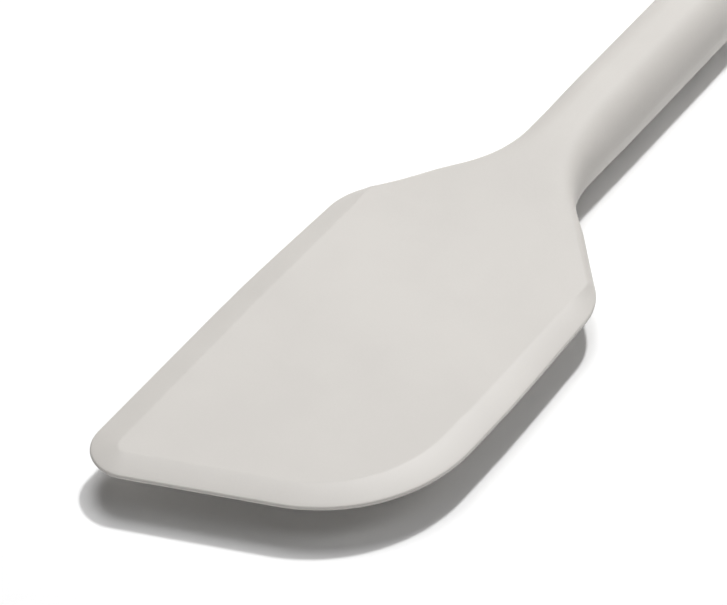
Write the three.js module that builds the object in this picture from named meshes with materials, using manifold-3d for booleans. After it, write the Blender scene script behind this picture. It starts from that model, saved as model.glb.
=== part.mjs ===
// A one-piece silicone kitchen spatula: a flat bevelled head with a slanted tip,
// moulded over a steel spine that two nylon halves thicken into a round handle.
// Millimetres. X runs from the handle to the tip, Y across the head and Z up.
// Design zero is the middle of the tip edge, on the head's mid-plane.
import * as THREE from 'three';
import { mergeVertices } from 'three/addons/utils/BufferGeometryUtils.js';
import Module from 'manifold-3d';

const wasm = await Module();
wasm.setup();

// Head, in plan
const headWidth = 64.4;          // between the middle corners of the two bowed sides
const widestToTip = 50;
const sideRadius = 400;
const tipInset = 1.0;            // how far the tip corners stand inside that width
const shoulderInset = 1.1;
const tipSlant = 23;             // how far the short corner stands ahead of the long one
const shortCornerRadius = 8.2;
const longCornerRadius = 35.5;
const tipToShoulder = 84.8;
const shoulderRadius = 16;
const shoulderToFlank = 15;      // the flank corner bulges between shoulder and neck
const flankBulge = 0.8;
const flankRadius = 25;
const shoulderToNeck = 24.8;
const neckRadius = 22;

// Head, in section
const bladeThickness = 3.8;
const edgeRadius = 0.55;
const sideBevel = 6;
const tipBevel = 5;
const leastBevel = 1.6;          // all that is left of the bevel on the flanks
const bevelCrown = 0.15;         // how much steeper than its mean the bevel is at the rim

// Handle
const neckWidth = 16.8;
const gripWidth = 17.4;
const gripHeight = 17.2;
const neckToGrip = 28;           // the handle reaches its full section here
const neckToTail = 160;
const tipToRise = 72;            // the face starts to rise towards the handle here
const restFlat = 3;              // narrow flat along the top and the underside
const gripPower = 2;             // superellipse power of the handle's round section
const flankPower = 7;            // and of the neck's boxy one, where it meets the head
const neckToBlend = 3;           // the neck's section starts to turn into the blade's here
const stepInNeck = 3;

// Steel spine
const spineThickness = 1.2;
const spadeWidth = 26;
const spadeToTip = 34;
const spadeCornerRadius = 8;
const flareLength = 14;
const flareRadius = 10;
const stripCornerRadius = 1.5;
const bondHoleRadius = 2.5;
const bondHolePitch = 14;
const bondHoleRows = 3;

// Handle core, rivets and end cap
const skin = 2.4;                // silicone over the core
const coreAheadOfGrip = 12;
const coreLand = 1.5;            // the halves face each other this far beside the strip
const coreNose = 3;
const coreNoseTaper = 1.2;
const shankRadius = 1.5;
const rivetHeadRadius = 2.7;
const rivetHeadHeight = 0.9;
const rivetCrownShare = 0.3;     // how much of a head's radius its chamfer takes
const rivetCover = 0.5;          // depth of a rivet head's crown below the core's top
const coreRivets = 3;
const rivetToEnd = 11;
const capLength = 26;
const spigotLength = 17;
const spineIntoCap = 13;
const hangHoleRadius = 4.25;
const hangHoleToTail = 12.5;
const hangHoleRound = 1.2;
const tailRound = 8;
const tailEndShare = 0.18;       // the tail ends in a small flat, this share of the grip
const tailSpans = 8;
const tailFullness = 0.8;
const hangHoleSpans = 4;

const gap = 0.3;                 // between pieces that touch on the real object
const overlap = 1;               // how far a cutter passes the face that it cuts
const mergeTolerance = 1e-5;

// Places that follow from the sizes above
const shoulderX = -tipToShoulder;
const flankX = shoulderX - shoulderToFlank;
const neckX = shoulderX - shoulderToNeck;
const gripX = neckX - neckToGrip;
const riseX = -tipToRise;
const tailX = neckX - neckToTail;
const seamX = tailX + capLength;
const spigotX = seamX + spigotLength;
const coreFrontX = gripX + coreAheadOfGrip;
const coreRearX = spigotX + gap;
const spineRearX = seamX + spigotLength - spineIntoCap;
const hangHoleX = tailX + hangHoleToTail;
const faceZ = bladeThickness / 2;
const boreWidth = gripWidth - 2 * skin;
const boreHeight = gripHeight - 2 * skin;
const coreWidth = boreWidth - 2 * gap;
const coreHeight = boreHeight - 2 * gap;
const stripWidth = coreWidth - 2 * coreLand;
const rivetTopZ = coreHeight / 2 - rivetCover;

const profileSpans = 11;         // from the rim to the middle line, on one face
const rimSpans = 4;
const bevelSpans = 2;
const creaseIndex = rimSpans + bevelSpans;
const arcStep = THREE.MathUtils.degToRad(8);
const roundSides = 24;

const materials = {
  silicone: new THREE.MeshStandardMaterial({ color: 0xdcd9d4, roughness: 0.55, metalness: 0 }),
  nylon: new THREE.MeshStandardMaterial({ color: 0xd6d2cb, roughness: 0.6, metalness: 0 }),
  steel: new THREE.MeshStandardMaterial({ color: 0xb4b7ba, roughness: 0.35, metalness: 1 }),
};

// ---------------------------------------------------------------- solids

// A manifold-3d solid from a closed geometry. Only positions are kept.
function solid(geometry) {
  const bare = geometry.index ? geometry.toNonIndexed() : geometry.clone();
  bare.deleteAttribute('normal');
  bare.deleteAttribute('uv');
  const merged = mergeVertices(bare, mergeTolerance);
  const index = merged.index.array;
  const kept = [];
  for (let i = 0; i < index.length; i += 3) {
    const [a, b, c] = index.slice(i, i + 3);
    if (a !== b && b !== c && c !== a) kept.push(a, b, c);
  }
  const mesh = new wasm.Mesh({
    numProp: 3,
    vertProperties: Float32Array.from(merged.attributes.position.array),
    triVerts: Uint32Array.from(kept),
  });
  return new wasm.Manifold(mesh);
}

function named(name, shape, material) {
  const { vertProperties, triVerts } = shape.getMesh();
  const geometry = new THREE.BufferGeometry();
  geometry.setAttribute('position', new THREE.BufferAttribute(vertProperties, 3));
  geometry.setIndex(new THREE.BufferAttribute(triVerts, 1));
  geometry.computeVertexNormals();
  const mesh = new THREE.Mesh(geometry, material);
  mesh.name = name;
  return mesh;
}

// A box from its lowest and highest corners.
function block(low, high) {
  const size = high.map((value, axis) => value - low[axis]);
  const geometry = new THREE.BoxGeometry(...size);
  geometry.translate(...low.map((value, axis) => value + size[axis] / 2));
  return solid(geometry);
}

// A turned solid on a vertical axis at x. The profile holds [radius, z] pairs.
function turned(x, profile) {
  const points = profile.map(([radius, z]) => new THREE.Vector2(radius, z));
  const geometry = new THREE.LatheGeometry(points, roundSides);
  geometry.rotateX(Math.PI / 2);
  geometry.translate(x, 0, 0);
  return solid(geometry);
}

function post(x, radius, lowZ, highZ) {
  return turned(x, [[0, lowZ], [radius, lowZ], [radius, highZ], [0, highZ]]);
}

// ---------------------------------------------------------------- outlines

// Rounds the corners of an open line. Each corner is { x, y, r }. Two rounds that
// need more than the edge between them share it.
function roundedLine(corners) {
  const at = corners.map(({ x, y }) => new THREE.Vector2(x, y));
  const isRound = (i) => i > 0 && i < corners.length - 1 && corners[i].r > 0;
  const turns = at.map((point, i) => {
    if (!isRound(i)) return 0;
    return Math.PI - at[i - 1].clone().sub(point).angleTo(at[i + 1].clone().sub(point));
  });
  const wanted = turns.map((turn, i) => (corners[i].r ?? 0) * Math.tan(turn / 2));
  const share = (i, k) => Math.min(1, at[i].distanceTo(at[k]) / (wanted[i] + wanted[k]));
  const points = [];
  corners.forEach((corner, i) => {
    const turn = turns[i];
    if (!turn) {
      points.push(at[i]);
      return;
    }
    const reach = wanted[i] * Math.min(share(i, i - 1), share(i, i + 1));
    const radius = reach / Math.tan(turn / 2);
    const before = at[i - 1].clone().sub(at[i]).normalize();
    const after = at[i + 1].clone().sub(at[i]).normalize();
    const middle = before.clone().add(after).normalize();
    const centre = at[i].clone().addScaledVector(middle, radius / Math.cos(turn / 2));
    const start = at[i].clone().addScaledVector(before, reach).sub(centre);
    const end = at[i].clone().addScaledVector(after, reach).sub(centre);
    const side = Math.sign(start.cross(end));
    const spans = Math.max(2, Math.ceil(turn / arcStep));
    for (let k = 0; k <= spans; k += 1) {
      const angle = side * turn * k / spans;
      points.push(centre.clone().add(start.clone().rotateAround(new THREE.Vector2(), angle)));
    }
  });
  return points;
}

// Moves every edge of an open line of corners outwards, to the left of its run.
function grown(corners, distance) {
  return corners.map((corner, i) => {
    const last = corners.length - 1;
    const from = corners[Math.max(0, i - 1)];
    const to = corners[Math.min(last, i + 1)];
    const before = i === 0 ? null : new THREE.Vector2(corner.x - from.x, corner.y - from.y);
    const after = i === last ? null : new THREE.Vector2(to.x - corner.x, to.y - corner.y);
    const a = (before ?? after).clone().normalize();
    const b = (after ?? before).clone().normalize();
    const normalA = new THREE.Vector2(-a.y, a.x);
    const normalB = new THREE.Vector2(-b.y, b.x);
    const middle = normalA.clone().add(normalB).normalize();
    const reach = distance / middle.dot(normalA);
    return { x: corner.x + middle.x * reach, y: corner.y + middle.y * reach, r: corner.r };
  });
}

// A plate on the mid-plane, the same on both sides of the X axis.
function plate(corners, thickness) {
  const upper = roundedLine(corners);
  const lower = upper.map((point) => new THREE.Vector2(point.x, -point.y)).reverse();
  const shape = new THREE.Shape([...upper, ...lower]);
  const geometry = new THREE.ExtrudeGeometry(shape, { depth: thickness, bevelEnabled: false });
  geometry.translate(0, 0, -thickness / 2);
  return solid(geometry);
}

// Splits the edges of a line that lie between two x values, so that none is
// longer than step.
function split(points, lowX, highX, step) {
  const result = [points[0]];
  for (let i = 1; i < points.length; i += 1) {
    const from = points[i - 1];
    const to = points[i];
    const inside = Math.max(from.x, to.x) > lowX && Math.min(from.x, to.x) < highX;
    const spans = inside ? Math.ceil(from.distanceTo(to) / step) : 1;
    for (let k = 1; k <= spans; k += 1) result.push(from.clone().lerp(to, k / spans));
  }
  return result;
}

// ---------------------------------------------------------------- sections

// The head's section from its rim to the crease, as [inset, height] pairs: a
// round edge, then a crowned bevel that is as much flatter at the crease.
function bladeSection(bevel) {
  const slope = Math.atan2(faceZ - edgeRadius, bevel - edgeRadius) * (1 + bevelCrown);
  const pairs = [];
  for (let j = 0; j <= rimSpans; j += 1) {
    const angle = (Math.PI / 2 - slope) * j / rimSpans;
    pairs.push([edgeRadius * (1 - Math.cos(angle)), edgeRadius * Math.sin(angle)]);
  }
  const start = new THREE.Vector2(...pairs.at(-1));
  const crease = new THREE.Vector2(bevel, faceZ);
  const chord = crease.clone().sub(start);
  const reach = chord.length() / 2 / Math.cos(slope - chord.angle());
  const along = new THREE.Vector2(Math.cos(slope), Math.sin(slope));
  const crown = start.clone().addScaledVector(along, reach);
  const curve = new THREE.QuadraticBezierCurve(start, crown, crease);
  for (let j = 1; j <= bevelSpans; j += 1) pairs.push(curve.getPoint(j / bevelSpans).toArray());
  return pairs;
}

// A quarter of the handle's section from its rim to the middle line, as [y, z].
function handleSection(width, height, power = gripPower) {
  const flat = restFlat / 2;
  const pairs = [];
  const last = profileSpans - 1;
  for (let j = 0; j < last; j += 1) {
    const angle = Math.PI / 2 * j / last;
    const across = Math.cos(angle) ** (2 / power);
    const up = Math.sin(angle) ** (2 / power);
    pairs.push([flat + (width / 2 - flat) * across, height / 2 * up]);
  }
  pairs.push([flat, height / 2]);
  pairs.push([0, height / 2]);
  return pairs;
}

function smooth(value) {
  const t = THREE.MathUtils.clamp(value, 0, 1);
  return t * t * (3 - 2 * t);
}

// The height of the middle line, which rises from the head's face to the grip's top.
function middleHeight(x) {
  return THREE.MathUtils.lerp(faceZ, gripHeight / 2, smooth((riseX - x) / (riseX - gripX)));
}

// 0 on the neck and 1 on the head.
function headShare(x) {
  const start = neckX + neckToBlend;
  return smooth((x - start) / (shoulderX - start));
}

// The section is round at the grip and gets boxier towards the shoulder.
function neckPower(x) {
  const along = smooth((x - gripX) / (shoulderX - gripX));
  return THREE.MathUtils.lerp(gripPower, flankPower, along ** 2);
}

// The crease of the side bevel runs on straight at the shoulder, so the bevel runs out.
function bevelAt(rim, normal) {
  const forward = Math.max(0, normal.x) ** 2;
  const bevel = THREE.MathUtils.lerp(sideBevel, tipBevel, forward);
  if (rim.x > shoulderX / 2) return bevel;
  const creaseY = headWidth / 2 - sideBevel;
  return Math.min(bevel, Math.max(Math.abs(rim.y) - creaseY, leastBevel));
}

// ---------------------------------------------------------------- silicone body

function sideCorners(sign) {
  const shoulderY = headWidth / 2 - shoulderInset;
  const onLine = THREE.MathUtils.lerp(shoulderY, neckWidth / 2, shoulderToFlank / shoulderToNeck);
  const riseShare = (riseX - shoulderX) / (-widestToTip - shoulderX);
  const riseY = THREE.MathUtils.lerp(shoulderY, headWidth / 2, riseShare);
  return [
    { x: seamX, y: sign * gripWidth / 2 },
    { x: gripX, y: sign * gripWidth / 2, r: neckToTail },
    { x: neckX, y: sign * neckWidth / 2, r: neckRadius },
    { x: flankX, y: sign * (onLine + flankBulge), r: flankRadius },
    { x: shoulderX, y: sign * shoulderY, r: shoulderRadius },
    { x: riseX, y: sign * riseY },
    { x: -widestToTip, y: sign * headWidth / 2, r: sideRadius },
  ];
}

function bodyOutline() {
  const tipY = headWidth / 2 - tipInset;
  const corners = [
    ...sideCorners(1),
    { x: -tipSlant / 2, y: tipY, r: longCornerRadius },
    { x: tipSlant / 2, y: -tipY, r: shortCornerRadius },
    ...sideCorners(-1).reverse(),
  ];
  const line = roundedLine(corners);
  return split(line, gripX, riseX, stepInNeck);
}

// The outward normal of an outline at each of its points.
function outwardNormals(outline) {
  return outline.map((point, i) => {
    const from = outline[Math.max(0, i - 1)];
    const to = outline[Math.min(outline.length - 1, i + 1)];
    const along = to.clone().sub(from).normalize();
    return new THREE.Vector2(-along.y, along.x);
  });
}

// One row of the body's upper surface, from the rim to the middle line.
function bodyRow(rim, normal) {
  const side = Math.sign(rim.y);
  const share = headShare(rim.x);
  const topZ = middleHeight(rim.x);
  const blade = bladeSection(bevelAt(rim, normal));
  const handle = handleSection(2 * Math.abs(rim.y), 2 * topZ, neckPower(rim.x));
  const row = [];
  for (let j = 0; j <= profileSpans; j += 1) {
    const [inset, height] = blade[Math.min(j, creaseIndex)];
    const flat = new THREE.Vector3(rim.x - normal.x * inset, rim.y - normal.y * inset, height);
    if (j > creaseIndex) {
      const inward = (j - creaseIndex) / (profileSpans - creaseIndex);
      flat.lerp(new THREE.Vector3(rim.x, 0, faceZ), inward);
      flat.z += (topZ - faceZ) * (1 - (1 - inward) ** 2);
    }
    const round = new THREE.Vector3(rim.x, side * handle[j][0], handle[j][1]);
    row.push(round.lerp(flat, share));
  }
  return row;
}

function bodySurface() {
  const outline = bodyOutline();
  const normals = outwardNormals(outline);
  const rows = outline.map((rim, i) => bodyRow(rim, normals[i]));
  const headStart = outline.findIndex((point) => point.x >= riseX);
  const headEnd = outline.length - 1 - headStart;
  const triangles = [];
  const face = (a, b, c) => {
    const under = [a, c, b].map((point) => new THREE.Vector3(point.x, point.y, -point.z));
    triangles.push(a, b, c, ...under);
  };
  for (let i = 0; i < rows.length - 1; i += 1) {
    const onHead = i >= headStart && i < headEnd;
    const spans = onHead ? creaseIndex : profileSpans;
    for (let j = 0; j < spans; j += 1) {
      face(rows[i][j], rows[i][j + 1], rows[i + 1][j + 1]);
      face(rows[i][j], rows[i + 1][j + 1], rows[i + 1][j]);
    }
  }
  const rimOfFace = [];
  for (let j = profileSpans; j > creaseIndex; j -= 1) rimOfFace.push(rows[headStart][j]);
  for (let i = headStart; i <= headEnd; i += 1) rimOfFace.push(rows[i][creaseIndex]);
  for (let j = creaseIndex + 1; j <= profileSpans; j += 1) rimOfFace.push(rows[headEnd][j]);
  const middle = new THREE.Vector3(shoulderX / 2, 0, faceZ);
  for (let i = 0; i < rimOfFace.length - 1; i += 1) face(middle, rimOfFace[i + 1], rimOfFace[i]);
  const rear = new THREE.Vector3(seamX, 0, 0);
  for (const [row, flip] of [[rows[0], false], [rows.at(-1), true]]) {
    for (let j = 0; j < profileSpans; j += 1) {
      face(rear, ...(flip ? [row[j], row[j + 1]] : [row[j + 1], row[j]]));
    }
  }
  const geometry = new THREE.BufferGeometry().setFromPoints(triangles);
  return solid(geometry);
}

// ---------------------------------------------------------------- bars

// A bar along X through { x, width, height } stations, capped flat at both ends.
function bar(stations) {
  const rings = stations.map(({ x, width, height }) => {
    const quarter = handleSection(width, height);
    const half = [...quarter, ...quarter.slice(0, -1).reverse().map(([y, z]) => [-y, z])];
    const under = half.slice(1, -1).reverse().map(([y, z]) => [y, -z]);
    return [...half, ...under].map(([y, z]) => new THREE.Vector3(x, y, z));
  });
  const triangles = [];
  const sides = rings[0].length;
  for (let k = 0; k < rings.length - 1; k += 1) {
    for (let j = 0; j < sides; j += 1) {
      const next = (j + 1) % sides;
      triangles.push(rings[k][j], rings[k][next], rings[k + 1][next]);
      triangles.push(rings[k][j], rings[k + 1][next], rings[k + 1][j]);
    }
  }
  const first = new THREE.Vector3(stations[0].x, 0, 0);
  const last = new THREE.Vector3(stations.at(-1).x, 0, 0);
  for (let j = 0; j < sides; j += 1) {
    const next = (j + 1) % sides;
    triangles.push(first, rings[0][next], rings[0][j]);
    triangles.push(last, rings.at(-1)[j], rings.at(-1)[next]);
  }
  return solid(new THREE.BufferGeometry().setFromPoints(triangles));
}

// The space for the handle core, or the core itself when clearance is the gap.
function coreBar(rearX, clearance) {
  const width = boreWidth - 2 * clearance;
  const height = boreHeight - 2 * clearance;
  const noseX = coreFrontX + gap - clearance;
  return bar([
    { x: rearX, width, height },
    { x: noseX - coreNose, width, height },
    { x: noseX, width: width - 2 * coreNoseTaper, height: height - 2 * coreNoseTaper },
  ]);
}

// ---------------------------------------------------------------- sub-parts

function spineCorners() {
  const spadeRearX = shoulderX;
  return [
    { x: spineRearX, y: 0 },
    { x: spineRearX, y: stripWidth / 2, r: stripCornerRadius },
    { x: spadeRearX - flareLength, y: stripWidth / 2, r: flareRadius },
    { x: spadeRearX, y: spadeWidth / 2, r: flareRadius },
    { x: -spadeToTip, y: spadeWidth / 2, r: spadeCornerRadius },
    { x: -spadeToTip, y: 0 },
  ];
}

function rivetPlaces() {
  const first = coreFrontX - rivetToEnd;
  const last = coreRearX + rivetToEnd;
  const places = [];
  for (let i = 0; i < coreRivets; i += 1) {
    places.push(THREE.MathUtils.lerp(first, last, i / (coreRivets - 1)));
  }
  places.push((spineRearX + spigotX) / 2);
  return places;
}

function bondHolePlaces() {
  const first = -spadeToTip - bondHolePitch / 2;
  return Array.from({ length: bondHoleRows }, (_, i) => first - i * bondHolePitch);
}

function steelSpine() {
  let shape = plate(spineCorners(), spineThickness);
  const reach = spineThickness / 2 + overlap;
  for (const x of rivetPlaces()) {
    shape = shape.subtract(post(x, shankRadius + gap, -reach, reach));
  }
  for (const x of bondHolePlaces()) {
    shape = shape.subtract(post(x, bondHoleRadius, -reach, reach));
  }
  return shape;
}

// The room that the spine needs, gap included.
function spineRoom() {
  return plate(grown(spineCorners(), gap), spineThickness + 2 * gap);
}

// The silicone passes through the spine's bond holes and joins its two faces.
function siliconeBody() {
  let pocket = spineRoom();
  for (const x of bondHolePlaces()) {
    pocket = pocket.subtract(post(x, bondHoleRadius - gap, -faceZ, faceZ));
  }
  const bore = coreBar(seamX - overlap, 0);
  return bodySurface().subtract(bore.add(pocket));
}

// The room of one rivet: its shank's hole and a counterbore for each head.
function rivetRoom(x) {
  const seatZ = rivetTopZ - rivetHeadHeight - gap;
  const outZ = gripHeight / 2 + overlap;
  const shank = post(x, shankRadius + gap, -outZ, outZ);
  const top = post(x, rivetHeadRadius + gap, seatZ, outZ);
  const under = post(x, rivetHeadRadius + gap, -outZ, -seatZ);
  return shank.add(top).add(under);
}

function rivet(x) {
  const crown = rivetCrownShare * rivetHeadRadius;
  const seatZ = rivetTopZ - rivetHeadHeight;
  const edgeZ = rivetTopZ - crown / 2;
  const half = [
    [0, rivetTopZ],
    [rivetHeadRadius - crown, rivetTopZ],
    [rivetHeadRadius, edgeZ],
    [rivetHeadRadius, seatZ],
    [shankRadius, seatZ],
  ];
  const under = half.map(([radius, z]) => [radius, -z]).reverse();
  return turned(x, [...half, ...under].reverse());
}

function handleCoreHalf(side) {
  const reach = gripWidth;
  const low = side > 0 ? gap / 2 : -reach;
  const high = side > 0 ? reach : -gap / 2;
  const half = block([tailX, -reach, low], [0, reach, high]);
  let shape = coreBar(coreRearX, gap).intersect(half).subtract(spineRoom());
  for (const x of rivetPlaces().slice(0, coreRivets)) shape = shape.subtract(rivetRoom(x));
  return shape;
}

function capShell() {
  const stations = [];
  for (let k = tailSpans; k >= 0; k -= 1) {
    const angle = Math.PI / 2 * k / tailSpans;
    const fill = Math.max(tailEndShare, Math.abs(Math.cos(angle)) ** tailFullness);
    const x = tailX + tailRound * (1 - Math.sin(angle));
    stations.push({ x, width: gripWidth * fill, height: gripHeight * fill });
  }
  stations.push({ x: seamX - gap, width: gripWidth, height: gripHeight });
  return bar(stations);
}

function hangHole() {
  const topZ = gripHeight / 2;
  const wide = hangHoleRadius + hangHoleRound;
  const half = [[0, -topZ - overlap], [wide, -topZ - overlap], [wide, -topZ]];
  for (let k = 1; k <= hangHoleSpans; k += 1) {
    const angle = Math.PI / 2 * k / hangHoleSpans;
    const radius = wide - hangHoleRound * Math.sin(angle);
    half.push([radius, -topZ + hangHoleRound * (1 - Math.cos(angle))]);
  }
  const upper = half.map(([radius, z]) => [radius, -z]).reverse();
  return turned(hangHoleX, [...half, ...upper]);
}

function endCap() {
  const width = boreWidth - 2 * gap;
  const spigot = bar([
    { x: seamX - 2 * overlap, width, height: coreHeight },
    { x: spigotX, width, height: coreHeight },
  ]);
  const rivetX = rivetPlaces().at(-1);
  return capShell().add(spigot).subtract(spineRoom()).subtract(rivetRoom(rivetX)).subtract(hangHole());
}

// ---------------------------------------------------------------- assembly

const spatula = new THREE.Group();
spatula.add(named('silicone_body', siliconeBody(), materials.silicone));
spatula.add(named('steel_spine', steelSpine(), materials.steel));
spatula.add(named('handle_core_upper', handleCoreHalf(1), materials.nylon));
spatula.add(named('handle_core_lower', handleCoreHalf(-1), materials.nylon));
spatula.add(named('end_cap', endCap(), materials.nylon));
rivetPlaces().forEach((x, i) => {
  const name = i < coreRivets ? `core_rivet_${i + 1}` : 'cap_rivet';
  spatula.add(named(name, rivet(x), materials.steel));
});

// The origin is under the middle of the whole spatula, on what it lies on.
const extent = new THREE.Box3().setFromObject(spatula);
const centre = extent.getCenter(new THREE.Vector3());
spatula.position.set(-centre.x, -centre.y, -extent.min.z);

export default spatula;
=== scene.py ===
"""The looks of a one-piece silicone spatula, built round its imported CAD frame.

Metres, +Z up. X runs from the handle to the tip. The silicone body and the end cap get
fine meshes here; the steel spine, the core halves and the rivets stay as CAD nodes.
"""

import math

import bmesh
import bpy
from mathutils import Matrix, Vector


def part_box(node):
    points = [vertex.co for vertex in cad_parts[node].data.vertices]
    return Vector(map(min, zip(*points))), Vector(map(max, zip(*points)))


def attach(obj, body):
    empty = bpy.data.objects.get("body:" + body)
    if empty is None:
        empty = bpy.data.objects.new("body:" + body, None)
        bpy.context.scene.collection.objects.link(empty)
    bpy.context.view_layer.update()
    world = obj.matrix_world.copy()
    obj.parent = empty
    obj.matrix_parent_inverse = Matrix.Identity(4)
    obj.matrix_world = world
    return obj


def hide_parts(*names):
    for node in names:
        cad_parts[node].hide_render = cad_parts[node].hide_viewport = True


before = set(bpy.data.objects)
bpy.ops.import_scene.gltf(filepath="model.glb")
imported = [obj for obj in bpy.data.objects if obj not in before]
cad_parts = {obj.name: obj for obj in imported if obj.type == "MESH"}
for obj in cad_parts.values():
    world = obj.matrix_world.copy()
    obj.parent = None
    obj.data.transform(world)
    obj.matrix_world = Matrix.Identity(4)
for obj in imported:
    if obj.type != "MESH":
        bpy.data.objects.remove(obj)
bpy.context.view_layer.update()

MM = 0.001

# ---------------------------------------------------------------- sizes
# What the frame gives: the ends, the seam, the widths and the mid-plane.
BODY_LOW, BODY_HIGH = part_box("silicone_body")
CAP_LOW, CAP_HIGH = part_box("end_cap")
SPINE_LOW, SPINE_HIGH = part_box("steel_spine")
CORE_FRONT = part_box("handle_core_upper")[1].x

TAIL_X = CAP_LOW.x
SEAM_X = BODY_LOW.x
MID_Z = (BODY_LOW.z + BODY_HIGH.z) / 2
MID_Y = (SPINE_LOW.y + SPINE_HIGH.y) / 2
GRIP_WIDTH = CAP_HIGH.y - CAP_LOW.y
GRIP_HEIGHT = BODY_HIGH.z - BODY_LOW.z

# The head in plan, from design zero at the middle of the tip edge.
HEAD_WIDTH = 64.4 * MM
WIDEST_TO_TIP = 50 * MM
SIDE_RADIUS = 400 * MM
TIP_INSET = 1.0 * MM
SHOULDER_INSET = 1.1 * MM
TIP_SLANT = 23 * MM
SHORT_CORNER_RADIUS = 8.2 * MM
LONG_CORNER_RADIUS = 35.5 * MM
TIP_TO_SHOULDER = 84.8 * MM
SHOULDER_RADIUS = 16 * MM
SHOULDER_TO_FLANK = 15 * MM
FLANK_BULGE = 0.8 * MM
FLANK_RADIUS = 25 * MM
SHOULDER_TO_NECK = 24.8 * MM
NECK_RADIUS = 22 * MM
NECK_TO_TAIL = 160 * MM
NECK_TO_GRIP = 28 * MM
TIP_TO_RISE = 72 * MM
NECK_TO_BLEND = 3 * MM
NECK_WIDTH = 16.8 * MM

# Sections.
BLADE_THICKNESS = 3.8 * MM
EDGE_RADIUS = 0.55 * MM
SIDE_BEVEL = 6 * MM
TIP_BEVEL = 5 * MM
LEAST_BEVEL = 1.6 * MM
CREASE_ROUND = 0.35 * MM
BEVEL_CROWN = 0.15
REST_FLAT = 3 * MM
GRIP_POWER = 2
FLANK_POWER = 7
PARTING_RIDGE = 0.05 * MM

# Inside the handle, and the end cap.
SKIN = 2.4 * MM
CORE_NOSE = 3 * MM
CORE_NOSE_TAPER = 1.2 * MM
SHANK_RADIUS = 1.5 * MM
RIVET_HEAD_HEIGHT = 0.9 * MM
HANG_HOLE_RADIUS = 4.25 * MM
HANG_HOLE_TO_TAIL = 12.5 * MM
HANG_HOLE_ROUND = 1.2 * MM
TAIL_ROUND = 8 * MM
TAIL_END_SHARE = 0.18
TAIL_FULLNESS = 0.8
SEAM_ROUND = 0.25 * MM
GAP = 0.3 * MM
OVERLAP = 1 * MM

TIP_X = TAIL_X + NECK_TO_TAIL + SHOULDER_TO_NECK + TIP_TO_SHOULDER
SHOULDER_X = -TIP_TO_SHOULDER
NECK_X = SHOULDER_X - SHOULDER_TO_NECK
GRIP_X = NECK_X - NECK_TO_GRIP
SEAM_FROM_TIP = SEAM_X - TIP_X
TAIL_FROM_TIP = TAIL_X - TIP_X
SPIGOT_FROM_TIP = CAP_HIGH.x - TIP_X
CORE_FRONT_FROM_TIP = CORE_FRONT - TIP_X
BORE_HALF_WIDTH = GRIP_WIDTH / 2 - SKIN
BORE_HALF_HEIGHT = GRIP_HEIGHT / 2 - SKIN
FACE_Z = BLADE_THICKNESS / 2

# How finely the body is cut.
ARC_STEP = math.radians(2.5)
LONG_STEP = 3 * MM
NECK_STEP = 1 * MM
RIM_SPANS = 9
BEVEL_SPANS = 7
CREASE_SPANS = 2
FIELD_SPANS = 14
RING_SPANS = 24
TAIL_SPANS = 16
HOLE_SPANS = 8
TURNED_SIDES = 72
SHARP_ANGLE = math.radians(32)
MERGE_DISTANCE = 0.0005 * MM
FACE_SHARE = 0.998  # what stands above this share of the face's height is face


# ---------------------------------------------------------------- outline


def rounded_line(corners):
    """Points of an open line of (x, y, radius) corners with its corners rounded."""
    at = [Vector(corner[:2]) for corner in corners]
    turns = [0.0] * len(corners)
    for i in range(1, len(corners) - 1):
        if corners[i][2]:
            turns[i] = math.pi - (at[i - 1] - at[i]).angle(at[i + 1] - at[i])
    wanted = [corner[2] * math.tan(turn / 2) for corner, turn in zip(corners, turns)]

    def share(i, k):
        return min(1.0, (at[i] - at[k]).length / (wanted[i] + wanted[k]))

    points = []
    for i, turn in enumerate(turns):
        if not turn:
            points.append(at[i])
            continue
        reach = wanted[i] * min(share(i, i - 1), share(i, i + 1))
        radius = reach / math.tan(turn / 2)
        before = (at[i - 1] - at[i]).normalized()
        after = (at[i + 1] - at[i]).normalized()
        centre = at[i] + (before + after).normalized() * radius / math.cos(turn / 2)
        start = at[i] + before * reach - centre
        end = at[i] + after * reach - centre
        side = math.copysign(1, start.x * end.y - start.y * end.x)
        spans = max(2, math.ceil(turn / ARC_STEP))
        for k in range(spans + 1):
            angle = side * turn * k / spans
            turned = Vector(
                (
                    start.x * math.cos(angle) - start.y * math.sin(angle),
                    start.x * math.sin(angle) + start.y * math.cos(angle),
                )
            )
            points.append(centre + turned)
    return points


def split_line(points):
    """Splits long edges, so that no span is longer than its part of the body allows."""
    result = [points[0]]
    for start, end in zip(points, points[1:]):
        middle = (start.x + end.x) / 2
        step = NECK_STEP if GRIP_X < middle < SHOULDER_X else LONG_STEP
        spans = max(1, math.ceil((end - start).length / step))
        result += [start.lerp(end, k / spans) for k in range(1, spans + 1)]
    return result


def side_corners(sign):
    """Corners of one side in plan, from the seam to the widest place of the head."""
    shoulder_y = HEAD_WIDTH / 2 - SHOULDER_INSET
    share = SHOULDER_TO_FLANK / SHOULDER_TO_NECK
    flank_y = shoulder_y + (NECK_WIDTH / 2 - shoulder_y) * share + FLANK_BULGE
    return [
        (SEAM_FROM_TIP, sign * GRIP_WIDTH / 2, 0),
        (GRIP_X, sign * GRIP_WIDTH / 2, NECK_TO_TAIL),
        (NECK_X, sign * NECK_WIDTH / 2, NECK_RADIUS),
        (SHOULDER_X - SHOULDER_TO_FLANK, sign * flank_y, FLANK_RADIUS),
        (SHOULDER_X, sign * shoulder_y, SHOULDER_RADIUS),
        (-WIDEST_TO_TIP, sign * HEAD_WIDTH / 2, SIDE_RADIUS),
    ]


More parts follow.
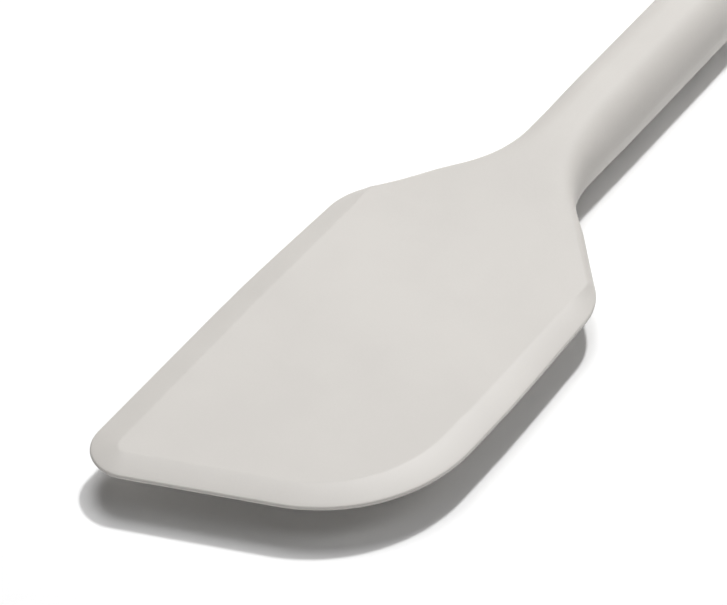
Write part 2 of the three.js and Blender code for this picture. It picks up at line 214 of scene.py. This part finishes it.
def body_outline():
    """The rim in plan, from the seam round the tip and back, with a middle point."""
    tip_y = HEAD_WIDTH / 2 - TIP_INSET
    corners = side_corners(1)
    corners.append((-TIP_SLANT / 2, tip_y, LONG_CORNER_RADIUS))
    corners.append((TIP_SLANT / 2, -tip_y, SHORT_CORNER_RADIUS))
    corners += side_corners(-1)[::-1]
    line = split_line(rounded_line(corners))
    shoulder = next(i for i, point in enumerate(line) if point.x > SHOULDER_X)
    head = line[shoulder : len(line) - shoulder]
    if len(head) % 2 == 0:
        longest = max(range(len(head) - 1), key=lambda i: (head[i + 1] - head[i]).length)
        head.insert(longest + 1, (head[longest] + head[longest + 1]) / 2)
    return line[:shoulder] + head + line[len(line) - shoulder :]


def outward_normals(outline):
    """The direction away from the body at each rim point."""
    normals = []
    for i in range(len(outline)):
        along = outline[min(i + 1, len(outline) - 1)] - outline[max(i - 1, 0)]
        normals.append(Vector((-along.y, along.x)).normalized())
    return normals


# ---------------------------------------------------------------- sections


def smooth_share(value):
    """0 up to 0, 1 from 1 on, and a soft ramp between."""
    t = min(1.0, max(0.0, value))
    return t * t * (3 - 2 * t)


def middle_height(x):
    """Height of the middle line over the mid-plane, from the blade up to the grip."""
    share = smooth_share((-TIP_TO_RISE - x) / (-TIP_TO_RISE - GRIP_X))
    return FACE_Z + (GRIP_HEIGHT / 2 - FACE_Z) * share


def head_share(x):
    """0 on the handle and 1 on the head."""
    start = NECK_X + NECK_TO_BLEND
    return smooth_share((x - start) / (SHOULDER_X - start))


def neck_power(x):
    """The section is round at the grip and gets boxier towards the shoulder."""
    along = smooth_share((x - GRIP_X) / (SHOULDER_X - GRIP_X))
    return GRIP_POWER + (FLANK_POWER - GRIP_POWER) * along ** 2


def blade_edge(bevel):
    """(inset, height) pairs from the rim over the crowned bevel to just inside the crease.

    The bevel is steeper at the rim than its mean slope by the crown's share, and as much
    flatter at the crease.
    """
    slope = math.atan2(FACE_Z - EDGE_RADIUS, bevel - EDGE_RADIUS) * (1 + BEVEL_CROWN)
    pairs = []
    for j in range(RIM_SPANS + 1):
        angle = (math.pi / 2 - slope) * j / RIM_SPANS
        pairs.append((EDGE_RADIUS * (1 - math.cos(angle)), EDGE_RADIUS * math.sin(angle)))
    start = Vector(pairs[-1])
    crease = Vector((bevel, FACE_Z))
    chord = crease - start
    lift = slope - math.atan2(chord.y, chord.x)
    reach = chord.length / 2 / math.cos(lift)
    crown = start + Vector((math.cos(slope), math.sin(slope))) * reach
    last = 1 - CREASE_ROUND / bevel
    for j in range(1, BEVEL_SPANS + 1):
        t = last * j / BEVEL_SPANS
        point = start.lerp(crown, t).lerp(crown.lerp(crease, t), t)
        pairs.append((point.x, point.y))
    pairs.append((bevel, FACE_Z))
    pairs.append((bevel + CREASE_ROUND, FACE_Z))
    return pairs


EDGE_SPANS = RIM_SPANS + BEVEL_SPANS + CREASE_SPANS
ROW_SPANS = EDGE_SPANS + FIELD_SPANS


def round_quarter(half_width, half_height, power, spans):
    """(y, z) pairs of a quarter of a round section, from the rim to the middle."""
    flat = REST_FLAT / 2
    pairs = []
    for j in range(spans):
        angle = math.pi / 2 * j / (spans - 1)
        across = max(0.0, math.cos(angle)) ** (2 / power)
        up = math.sin(angle) ** (2 / power)
        pairs.append((flat + (half_width - flat) * across, half_height * up))
    pairs.append((0.0, half_height))
    return pairs


def bevel_at(rim, normal):
    """The bevel's width. Each side's crease runs straight on and out at the shoulder."""
    forward = max(0.0, normal.x) ** 2
    bevel = SIDE_BEVEL + (TIP_BEVEL - SIDE_BEVEL) * forward
    if rim.x < SHOULDER_X / 2:
        crease_y = HEAD_WIDTH / 2 - SIDE_BEVEL
        bevel = min(bevel, max(abs(rim.y) - crease_y, LEAST_BEVEL))
    return bevel


def edge_points(rim, normal):
    """The upper surface over the rim and the bevel, in the head's own shape."""
    edge = blade_edge(bevel_at(rim, normal))
    return [Vector((rim.x - normal.x * a, rim.y - normal.y * a, z)) for a, z in edge]


def body_rows(outline):
    """For each rim point, its row of the upper surface, from the rim to the middle."""
    normals = outward_normals(outline)
    edges = [edge_points(rim, normal) for rim, normal in zip(outline, normals)]
    rows = []
    for i, rim in enumerate(outline):
        middle = (edges[i][-1] + edges[-1 - i][-1]) / 2
        flat_row = list(edges[i])
        top = middle_height(middle.x)
        for j in range(1, FIELD_SPANS + 1):
            t = j / FIELD_SPANS
            point = edges[i][-1].lerp(middle, t)
            point.z = FACE_Z + (top - FACE_Z) * (1 - (1 - t) ** 2)
            flat_row.append(point)
        share = head_share(rim.x)
        if share < 1:
            side = math.copysign(1, rim.y)
            quarter = round_quarter(abs(rim.y), top, neck_power(rim.x), ROW_SPANS)
            round_row = [Vector((rim.x, side * y, z)) for y, z in quarter]
            flat_row = [a.lerp(b, share) for a, b in zip(round_row, flat_row)]
        flat_row[0] += Vector((normals[i].x, normals[i].y, 0)) * PARTING_RIDGE
        rows.append(flat_row)
    return rows


# ---------------------------------------------------------------- mesh tools


def new_object(name, mesh_data):
    """A shown object from a bmesh, which it uses up."""
    mesh = bpy.data.meshes.new(name)
    mesh_data.to_mesh(mesh)
    mesh_data.free()
    obj = bpy.data.objects.new(name, mesh)
    bpy.context.scene.collection.objects.link(obj)
    shade(mesh)
    return obj


def shade(mesh):
    """Smooth shading, but for the edges that are sharper than SHARP_ANGLE."""
    for polygon in mesh.polygons:
        polygon.use_smooth = True
    mesh.set_sharp_from_angle(angle=SHARP_ANGLE)


def place(point):
    """From design zero to the row frame."""
    return Vector((TIP_X + point.x, MID_Y + point.y, MID_Z + point.z))


def closed_mesh(quads):
    """A bmesh from faces given as lists of points. Equal points are joined."""
    built = bmesh.new()
    for corners in quads:
        built.faces.new([built.verts.new(place(corner)) for corner in corners])
    bmesh.ops.remove_doubles(built, verts=built.verts, dist=MERGE_DISTANCE)
    bmesh.ops.dissolve_degenerate(built, edges=built.edges, dist=MERGE_DISTANCE)
    bmesh.ops.recalc_face_normals(built, faces=built.faces)
    return built


def combine(obj, other, operation):
    """Joins another object to this one, or cuts it out, and removes the other."""
    modifier = obj.modifiers.new("combine", "BOOLEAN")
    modifier.operation = operation
    modifier.solver = "EXACT"
    modifier.object = other
    bpy.context.view_layer.update()
    evaluated = obj.evaluated_get(bpy.context.evaluated_depsgraph_get())
    mesh = bpy.data.meshes.new_from_object(evaluated)
    obj.modifiers.clear()
    obj.data = mesh
    bpy.data.objects.remove(other)
    shade(obj.data)


def ring(x, half_width, half_height):
    """Points round a section of the handle at x."""
    quarter = round_quarter(half_width, half_height, GRIP_POWER, RING_SPANS)
    half = quarter + [(-y, z) for y, z in quarter[-2::-1]]
    under = [(y, -z) for y, z in half[-2:0:-1]]
    return [Vector((x, y, z)) for y, z in half + under]


def loft(name, rings):
    """A closed object through rings of points, with flat ends."""
    faces = [list(rings[0]), list(rings[-1])]
    for near, far in zip(rings, rings[1:]):
        for j in range(len(near)):
            k = (j + 1) % len(near)
            faces.append([near[j], near[k], far[k], far[j]])
    return new_object(name, closed_mesh(faces))


def turned(name, x, profile):
    """A closed object turned on a vertical axis at x, from (radius, z) pairs."""
    rings = []
    for radius, z in profile:
        circle = []
        for k in range(TURNED_SIDES):
            angle = 2 * math.pi * k / TURNED_SIDES
            circle.append(Vector((x + radius * math.cos(angle), radius * math.sin(angle), z)))
        rings.append(circle)
    return loft(name, rings)


def spine_room(name):
    """The steel spine's own shape, grown by the gap."""
    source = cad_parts["steel_spine"]
    room = bpy.data.objects.new(name, source.data.copy())
    bpy.context.scene.collection.objects.link(room)
    for vertex in room.data.vertices:
        vertex.co += vertex.normal * GAP
    return room


# ---------------------------------------------------------------- silicone body


def body_surface():
    """The silicone's closed outer surface, the rear end included."""
    outline = body_outline()
    rows = body_rows(outline)
    last = len(rows) - 1
    tip = last // 2
    faces = []

    def both_sides(corners):
        faces.append(corners)
        faces.append([Vector((p.x, p.y, -p.z)) for p in reversed(corners)])

    for i in range(last):
        for j in range(EDGE_SPANS):
            both_sides([rows[i][j], rows[i][j + 1], rows[i + 1][j + 1], rows[i + 1][j]])
    for i in range(tip - 1):
        for a, b in ((rows[i], rows[i + 1]), (rows[last - i], rows[last - i - 1])):
            for j in range(EDGE_SPANS, ROW_SPANS):
                both_sides([a[j], a[j + 1], b[j + 1], b[j]])
    point = rows[tip][EDGE_SPANS]
    for row in (rows[tip - 1], rows[tip + 1]):
        for j in range(EDGE_SPANS, ROW_SPANS):
            both_sides([row[j], row[j + 1], point])
    rear = Vector((SEAM_FROM_TIP, 0, 0))
    for row in (rows[0], rows[last]):
        for j in range(ROW_SPANS):
            both_sides([rear, row[j], row[j + 1]])
    return closed_mesh(faces)


def grain_at(point):
    """1 where the mould was blasted matt, and 0 on the polished bevel and rim."""
    x = point.x - TIP_X
    on_face = abs(point.z - MID_Z) > FACE_Z * FACE_SHARE
    return 1.0 if on_face else 1 - head_share(x)


def core_room():
    """The bore that the handle core and the cap's spigot fill."""
    nose = CORE_FRONT_FROM_TIP + GAP
    return loft(
        "core_room",
        [
            ring(SEAM_FROM_TIP - OVERLAP, BORE_HALF_WIDTH, BORE_HALF_HEIGHT),
            ring(nose - CORE_NOSE, BORE_HALF_WIDTH, BORE_HALF_HEIGHT),
            ring(nose, BORE_HALF_WIDTH - CORE_NOSE_TAPER, BORE_HALF_HEIGHT - CORE_NOSE_TAPER),
        ],
    )


def silicone_body():
    """The skin with its bore and the spine's pocket, and where it is matt."""
    skin = new_object("silicone_skin", body_surface())
    combine(skin, core_room(), "DIFFERENCE")
    combine(skin, spine_room("spine_pocket"), "DIFFERENCE")
    grain = skin.data.attributes.new("grain", "FLOAT", "POINT")
    for vertex, value in zip(skin.data.vertices, grain.data):
        value.value = grain_at(vertex.co)
    return skin


# ---------------------------------------------------------------- end cap


def cap_shell():
    """The cap outside: a round tail, a straight part and a soft edge at the seam."""
    half_width = GRIP_WIDTH / 2
    half_height = GRIP_HEIGHT / 2
    rings = []
    for k in range(TAIL_SPANS, -1, -1):
        angle = math.pi / 2 * k / TAIL_SPANS
        fill = max(TAIL_END_SHARE, abs(math.cos(angle)) ** TAIL_FULLNESS)
        x = TAIL_FROM_TIP + TAIL_ROUND * (1 - math.sin(angle))
        rings.append(ring(x, half_width * fill, half_height * fill))
    end = SEAM_FROM_TIP - GAP
    for k in range(HOLE_SPANS + 1):
        angle = math.pi / 2 * k / HOLE_SPANS
        inset = SEAM_ROUND * (1 - math.cos(angle))
        x = end - SEAM_ROUND * (1 - math.sin(angle))
        rings.append(ring(x, half_width - inset, half_height - inset))
    return loft("cap_shell", rings)


def hang_hole():
    """The cutter for the hanging hole, wider at both faces so that its rims are round."""
    wide = HANG_HOLE_RADIUS + HANG_HOLE_ROUND
    top = GRIP_HEIGHT / 2
    upper = []
    for k in range(HOLE_SPANS, -1, -1):
        angle = math.pi / 2 * k / HOLE_SPANS
        radius = wide - HANG_HOLE_ROUND * math.sin(angle)
        upper.append((radius, top - HANG_HOLE_ROUND * (1 - math.cos(angle))))
    upper.append((wide, top + OVERLAP))
    lower = [(radius, -z) for radius, z in reversed(upper)]
    return turned("hang_hole", TAIL_FROM_TIP + HANG_HOLE_TO_TAIL, lower + upper)


def cap_rivet_room():
    """The cutter for the cap rivet's shank and for both of its heads."""
    low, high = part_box("cap_rivet")
    x = (low.x + high.x) / 2 - TIP_X
    head = (high.x - low.x) / 2 + GAP
    seat = (high.z - low.z) / 2 - RIVET_HEAD_HEIGHT - GAP
    out = GRIP_HEIGHT / 2 + OVERLAP
    shank = SHANK_RADIUS + GAP
    upper = [(shank, seat), (head, seat), (head, out)]
    lower = [(radius, -z) for radius, z in reversed(upper)]
    return turned("cap_rivet_room", x, lower + upper)


def end_cap():
    """The cap with its spigot, less the hole, the rivet's room and the spine's slot."""
    cap = cap_shell()
    spigot_half = (BORE_HALF_WIDTH - GAP, BORE_HALF_HEIGHT - GAP)
    spigot_start = SEAM_FROM_TIP - 2 * OVERLAP
    spigot = loft("spigot", [ring(spigot_start, *spigot_half), ring(SPIGOT_FROM_TIP, *spigot_half)])
    combine(cap, spigot, "UNION")
    combine(cap, hang_hole(), "DIFFERENCE")
    combine(cap, cap_rivet_room(), "DIFFERENCE")
    combine(cap, spine_room("cap_slot"), "DIFFERENCE")
    cap.name = "moulded_end_cap"
    return cap


# ---------------------------------------------------------------- materials
# Noise scales are per metre. Tones are linear.

TONE_SPREAD = (0.35, 0.65)  # the noise between these turns one tone into the other
SATIN_ROUGHNESS = 0.48
MATT_ROUGHNESS = 0.62
SILICONE_IOR = 1.47
SILICONE_LOW = (0.572, 0.549, 0.520)
SILICONE_HIGH = (0.598, 0.575, 0.544)
CLOUD_SCALE = 45
SILICONE_FINE_SCALE = 1900
SILICONE_FINE_TONE = 0.12
SILICONE_UNEVEN = 0.03
SATIN_RELIEF = 0.04
MATT_RELIEF = 0.35
SILICONE_RELIEF_DEPTH = 0.03 * MM

NYLON_IOR = 1.53
NYLON_ROUGHNESS = (0.46, 0.58)
NYLON_FLOW_SCALE = 60
NYLON_FLOW_STRETCH = (0.25, 1, 1)
NYLON_FINE_SCALE = 2600
NYLON_RELIEF = 0.2
NYLON_RELIEF_DEPTH = 0.02 * MM
CORE_LOW = (0.60, 0.585, 0.56)
CORE_HIGH = (0.66, 0.645, 0.62)
CAP_NYLON_LOW = (0.562, 0.541, 0.513)
CAP_NYLON_HIGH = (0.590, 0.568, 0.539)

STEEL_ANISOTROPY = 0.4
STEEL_LINE_SCALE = 900
STEEL_LINE_TONE = 0.15
STEEL_PATCH_SCALE = 80
STEEL_SMOOTHER = 0.08
STEEL_ROUGHER = 0.1
STEEL_RELIEF = 0.15
STEEL_RELIEF_DEPTH = 0.01 * MM
STRIP_LOW = (0.50, 0.51, 0.52)
STRIP_HIGH = (0.60, 0.61, 0.62)
STRIP_ROUGHNESS = 0.32
STRIP_BRUSHING = (0.04, 1, 1)
RIVET_LOW = (0.52, 0.52, 0.53)
RIVET_HIGH = (0.63, 0.63, 0.63)
RIVET_ROUGHNESS = 0.28
RIVET_BRUSHING = (1, 1, 0.1)

FLOOR_TONE = (0.95, 0.95, 0.95)
FLOOR_ROUGHNESS = 0.9


def material(name, color, roughness):
    """A new node material, its node tree and its shader."""
    made = bpy.data.materials.new(name)
    made.use_nodes = True
    shader = made.node_tree.nodes["Principled BSDF"]
    shader.inputs["Base Color"].default_value = (*color, 1)
    shader.inputs["Roughness"].default_value = roughness
    return made, made.node_tree, shader


def noise(tree, scale, detail, stretch=(1, 1, 1)):
    """Noise over the object's own coordinates, stretched along an axis by a low factor."""
    coordinates = tree.nodes.new("ShaderNodeTexCoord")
    mapping = tree.nodes.new("ShaderNodeMapping")
    mapping.inputs["Scale"].default_value = stretch
    texture = tree.nodes.new("ShaderNodeTexNoise")
    texture.inputs["Scale"].default_value = scale
    texture.inputs["Detail"].default_value = detail
    tree.links.new(coordinates.outputs["Object"], mapping.inputs["Vector"])
    tree.links.new(mapping.outputs["Vector"], texture.inputs["Vector"])
    return texture.outputs["Fac"]


def ranged(tree, value, low, high):
    """Maps a value from 0..1 to low..high."""
    node = tree.nodes.new("ShaderNodeMapRange")
    node.inputs["To Min"].default_value = low
    node.inputs["To Max"].default_value = high
    tree.links.new(value, node.inputs["Value"])
    return node.outputs["Result"]


def added(tree, a, b):
    """The sum of two varying values."""
    node = tree.nodes.new("ShaderNodeMath")
    node.operation = "ADD"
    tree.links.new(a, node.inputs[0])
    tree.links.new(b, node.inputs[1])
    return node.outputs["Value"]


def tint(tree, shader, value, low, high):
    """Varies the base colour between two close tones."""
    ramp = tree.nodes.new("ShaderNodeValToRGB")
    for element, position, tone in zip(ramp.color_ramp.elements, TONE_SPREAD, (low, high)):
        element.position = position
        element.color = (*tone, 1)
    tree.links.new(value, ramp.inputs["Fac"])
    tree.links.new(ramp.outputs["Color"], shader.inputs["Base Color"])


def relief(tree, shader, value, strength, depth):
    """A fine bump. Its strength is a number, or a socket where it varies."""
    bump = tree.nodes.new("ShaderNodeBump")
    bump.inputs["Distance"].default_value = depth
    if isinstance(strength, float):
        bump.inputs["Strength"].default_value = strength
    else:
        tree.links.new(strength, bump.inputs["Strength"])
    tree.links.new(value, bump.inputs["Height"])
    tree.links.new(bump.outputs["Normal"], shader.inputs["Normal"])


def silicone_material():
    """Warm grey silicone: blasted matt on the faces and handle, satin on the bevel."""
    made, tree, shader = material("silicone", SILICONE_HIGH, MATT_ROUGHNESS)
    shader.inputs["IOR"].default_value = SILICONE_IOR
    mask = tree.nodes.new("ShaderNodeAttribute")
    mask.attribute_name = "grain"
    grain = mask.outputs["Fac"]
    cloud = noise(tree, CLOUD_SCALE, 3)
    fine = noise(tree, SILICONE_FINE_SCALE, 3)
    speckle = ranged(tree, fine, -SILICONE_FINE_TONE, SILICONE_FINE_TONE)
    tint(tree, shader, added(tree, cloud, speckle), SILICONE_LOW, SILICONE_HIGH)
    finish = ranged(tree, grain, SATIN_ROUGHNESS, MATT_ROUGHNESS)
    uneven = ranged(tree, cloud, -SILICONE_UNEVEN, SILICONE_UNEVEN)
    tree.links.new(added(tree, finish, uneven), shader.inputs["Roughness"])
    strength = ranged(tree, grain, SATIN_RELIEF, MATT_RELIEF)
    relief(tree, shader, fine, strength, SILICONE_RELIEF_DEPTH)
    return made


def nylon_material(name, low, high):
    """Moulded nylon: a faint flow along the handle and a fine texture."""
    made, tree, shader = material(name, high, NYLON_ROUGHNESS[0])
    shader.inputs["IOR"].default_value = NYLON_IOR
    flow = noise(tree, NYLON_FLOW_SCALE, 4, NYLON_FLOW_STRETCH)
    fine = noise(tree, NYLON_FINE_SCALE, 2)
    tint(tree, shader, flow, low, high)
    tree.links.new(ranged(tree, flow, *NYLON_ROUGHNESS), shader.inputs["Roughness"])
    relief(tree, shader, fine, NYLON_RELIEF, NYLON_RELIEF_DEPTH)
    return made


def brushed_steel_material(name, low, high, roughness, stretch):
    """Steel with fine brush lines along the axis that the stretch makes slow."""
    made, tree, shader = material(name, high, roughness)
    shader.inputs["Metallic"].default_value = 1
    shader.inputs["Anisotropic"].default_value = STEEL_ANISOTROPY
    lines = noise(tree, STEEL_LINE_SCALE, 5, stretch)
    patches = noise(tree, STEEL_PATCH_SCALE, 2)
    streaks = ranged(tree, lines, -STEEL_LINE_TONE, STEEL_LINE_TONE)
    tint(tree, shader, added(tree, patches, streaks), low, high)
    finish = ranged(tree, lines, roughness - STEEL_SMOOTHER, roughness + STEEL_ROUGHER)
    tree.links.new(finish, shader.inputs["Roughness"])
    relief(tree, shader, lines, STEEL_RELIEF, STEEL_RELIEF_DEPTH)
    return made


def dress(obj, finish):
    """Gives the whole of an object one material. Its shape stays as it is."""
    if not obj.material_slots:
        obj.data.materials.append(finish)
    for material_slot in obj.material_slots:
        material_slot.material = finish


def floor_material():
    """A plain pale floor with no shine."""
    made, _, shader = material("floor", FLOOR_TONE, FLOOR_ROUGHNESS)
    shader.inputs["Specular IOR Level"].default_value = 0
    return made


# ---------------------------------------------------------------- stage
# Distances and sizes are in metres, powers in watts.

FLOOR_HALF_SIZE = 3
CAMERA_AZIMUTH = 33.94
CAMERA_ELEVATION = 44.0
CAMERA_DISTANCE = 699.4 * MM
CAMERA_TARGET = Vector((-50 * MM, 0, 0))
CAMERA_SHIFT = (-0.0162, 0.0607)
CAMERA_CLIP_START = 0.01
FOCAL_WIDTHS = 4.822
SENSOR = 36

KEY_DIRECTION = Vector((-0.588, -0.117, 1)).normalized()
KEY_DISTANCE = 1.7
KEY_SIZE = 0.13
KEY_POWER = 17.8
FILL_DISTANCE = 1.2
FILL_SIZE = 0.6
LOW_SIZE = 0.5
OVERHEAD_POWER = 7.0
TOP_POWER = 0.95
RIGHT_POWER = 1.5
LOW_POWER = 2.6
WORLD_LIGHT = 0.0


def add_floor():
    """The stage that the spatula lies on."""
    built = bmesh.new()
    bmesh.ops.create_grid(built, x_segments=1, y_segments=1, size=FLOOR_HALF_SIZE)
    floor = new_object("floor", built)
    floor.location.z = min(BODY_LOW.z, CAP_LOW.z)
    floor.data.materials.append(floor_material())


def towards(azimuth, elevation):
    """The direction from the spatula at an azimuth and an elevation in degrees."""
    az = math.radians(azimuth)
    el = math.radians(elevation)
    return Vector((math.cos(az) * math.cos(el), math.sin(az) * math.cos(el), math.sin(el)))


def add_camera():
    """A long lens that looks down on the tip."""
    data = bpy.data.cameras.new("camera")
    data.sensor_width = SENSOR
    data.lens = FOCAL_WIDTHS * SENSOR
    data.shift_x, data.shift_y = CAMERA_SHIFT
    data.clip_start = CAMERA_CLIP_START
    camera = bpy.data.objects.new("camera", data)
    direction = towards(CAMERA_AZIMUTH, CAMERA_ELEVATION)
    camera.location = place(CAMERA_TARGET) + direction * CAMERA_DISTANCE
    camera.rotation_euler = direction.to_track_quat("Z", "Y").to_euler()
    bpy.context.scene.collection.objects.link(camera)
    bpy.context.scene.camera = camera


def add_light(name, direction, distance, size, power):
    """A round soft light that looks at the middle of the head from a direction."""
    data = bpy.data.lights.new(name, "AREA")
    data.shape = "DISK"
    data.size = size
    data.energy = power
    light = bpy.data.objects.new(name, data)
    light.location = place(CAMERA_TARGET) + direction * distance
    light.rotation_euler = direction.to_track_quat("Z", "Y").to_euler()
    bpy.context.scene.collection.objects.link(light)


def add_world():
    """A dark world, so that the lamps give all of the light."""
    world = bpy.data.worlds.new("studio")
    world.use_nodes = True
    background = world.node_tree.nodes["Background"]
    background.inputs["Color"].default_value = (1, 1, 1, 1)
    background.inputs["Strength"].default_value = WORLD_LIGHT
    bpy.context.scene.world = world


# ---------------------------------------------------------------- assembly

add_camera()
add_light("key", KEY_DIRECTION, KEY_DISTANCE, KEY_SIZE, KEY_POWER)
add_light("overhead", towards(220, 66), FILL_DISTANCE, FILL_SIZE, OVERHEAD_POWER)
add_light("top", towards(30, 80), FILL_DISTANCE, FILL_SIZE, TOP_POWER)
add_light("right", towards(120, 50), FILL_DISTANCE, FILL_SIZE, RIGHT_POWER)
add_light("low", towards(34, 9), FILL_DISTANCE, LOW_SIZE, LOW_POWER)
add_world()
add_floor()
bpy.context.scene.view_settings.view_transform = "Standard"
bpy.context.scene.view_settings.look = "None"

silicone = silicone_material()
core_nylon = nylon_material("core_nylon", CORE_LOW, CORE_HIGH)
cap_nylon = nylon_material("cap_nylon", CAP_NYLON_LOW, CAP_NYLON_HIGH)
strip_steel = brushed_steel_material(
    "strip_steel", STRIP_LOW, STRIP_HIGH, STRIP_ROUGHNESS, STRIP_BRUSHING
)
rivet_steel = brushed_steel_material(
    "rivet_steel", RIVET_LOW, RIVET_HIGH, RIVET_ROUGHNESS, RIVET_BRUSHING
)

skin = silicone_body()
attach(skin, "root")
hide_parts("silicone_body")

cap = end_cap()
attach(cap, "root")
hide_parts("end_cap")

dress(skin, silicone)
dress(cap, cap_nylon)
for name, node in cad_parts.items():
    if name == "steel_spine":
        dress(node, strip_steel)
    elif name.startswith("handle_core"):
        dress(node, core_nylon)
    elif "rivet" in name:
        dress(node, rivet_steel)
